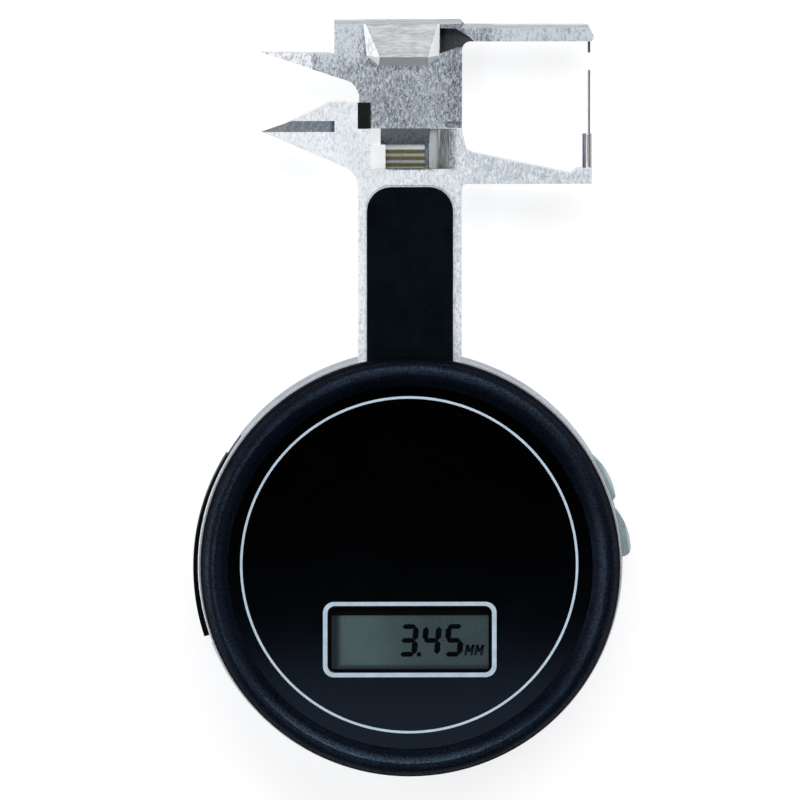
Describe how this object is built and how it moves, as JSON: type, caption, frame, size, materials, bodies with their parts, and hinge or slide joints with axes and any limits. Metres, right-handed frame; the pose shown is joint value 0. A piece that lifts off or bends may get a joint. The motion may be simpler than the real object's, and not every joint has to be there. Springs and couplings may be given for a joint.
{
  "type": "digital gemstone gauge",
  "caption": "Handheld digital gauge for gemstones: round case with dial display, side thumb lever and keys, stem, and paired measuring jaws on a rack-driven slide.",
  "frame": {"origin": "centre of the flat round back of the case", "axes": "+Z out of the dial, +Y from the case towards the jaws, +X to the side with the two keys"},
  "size_m": [0.0874, 0.1513, 0.02],
  "materials": {
    "case_metal": "satin anodised aluminium",
    "bezel_plastic": "dark blue-black satin plastic with a fine grain",
    "face_gloss": "polished black plate",
    "display_glass": "grey-green reflective display",
    "white_plastic": "pale moulded plastic",
    "soft_rubber": "soft rubber",
    "board": "lacquered circuit board",
    "black_plastic": "black plastic",
    "steel": "fine turned steel",
    "key_plastic": "grey-green satin plastic",
    "cell_steel": "bright plated steel",
    "contact_brass": "gilt spring brass",
    "spring_steel": "drawn spring wire",
    "gear_brass": "cut brass",
    "frame_metal": "bright blasted aluminium",
    "inlay": "black satin inlay",
    "block_metal": "coarse blasted steel",
    "catch_metal": "smooth milled metal",
    "strip": "pale glass-fibre strip",
    "gilt": "gilt copper traces",
    "dark_steel": "dark hardened steel",
    "polished_steel": "polished steel"
  },
  "bodies": {
    "case": {"rear_case": "case_metal", "front_bezel": "bezel_plastic", "face_plate": "face_gloss", "lcd_glass": "display_glass", "lcd_holder": "white_plastic", "zebra_strips": "soft_rubber", "main_board": "board", "reader_board": "board", "board_header": "black_plastic", "button_switches": "steel", "coin_cell": "cell_steel", "battery_holder": "black_plastic", "battery_contacts": "contact_brass", "case_screws": "steel", "lever_pivot": "steel", "lever_spring": "spring_steel", "gear_arbor": "steel", "gear_clip": "spring_steel", "jaw_frame": "frame_metal", "frame_screws": "steel", "stem_panel": "inlay", "stem_back_plate": "frame_metal", "back_plate_screws": "steel", "gib_strip": "catch_metal", "gib_screws": "dark_steel", "guide_pad": "black_plastic", "probe_sleeve": "polished_steel", "probe_needle": "polished_steel"},
    "jaw_carriage": {"jaw_block": "block_metal", "finger_catch": "catch_metal", "catch_screws": "steel", "slide_bar": "steel", "slide_screws": "steel", "scale_strip": "strip", "scale_bars": "gilt", "contact_pin": "dark_steel"},
    "gear": {"compound_gear": "gear_brass"},
    "lever": {"thumb_pad": "black_plastic", "lever_plate": "steel", "pad_screws": "steel"},
    "power_key": {"power_button": "key_plastic"},
    "zero_key": {"zero_button": "key_plastic"},
    "door": {"battery_door": "case_metal"}
  },
  "joints": [
    {"name": "jaw_slide", "type": "slide", "parent": "case", "child": "jaw_carriage", "axis": [0, 1, 0], "range_m": [-0.0034, 0.0088], "stiffness_N_per_m": 40, "springref_m": -0.02},
    {"name": "gear_spin", "type": "hinge", "parent": "case", "child": "gear", "pos_m": [-0.0153, 0.00463, 0.0076], "axis": [0, 0, 1], "range_deg": [-19.6, 50.6]},
    {"name": "lever_swing", "type": "hinge", "parent": "case", "child": "lever", "pos_m": [-0.03125, -0.01715, 0.0097], "axis": [0, 0, 1], "range_deg": [-8.85, 3.45]},
    {"name": "power_press", "type": "slide", "parent": "case", "child": "power_key", "axis": [-0.9135, -0.4069, 0], "range_m": [0, 0.0008], "stiffness_N_per_m": 900},
    {"name": "zero_press", "type": "slide", "parent": "case", "child": "zero_key", "axis": [-0.9888, -0.1495, 0], "range_m": [0, 0.0008], "stiffness_N_per_m": 900},
    {"name": "door_turn", "type": "hinge", "parent": "case", "child": "door", "pos_m": [0, -0.019, 0], "axis": [0, 0, 1], "range_deg": [0, 60]}
  ],
  "couplings": [
    {"joint": "gear_spin", "follows": "jaw_slide", "rad_per_m": 100},
    {"joint": "lever_swing", "follows": "jaw_slide", "rad_per_m": -17.391}
  ]
}
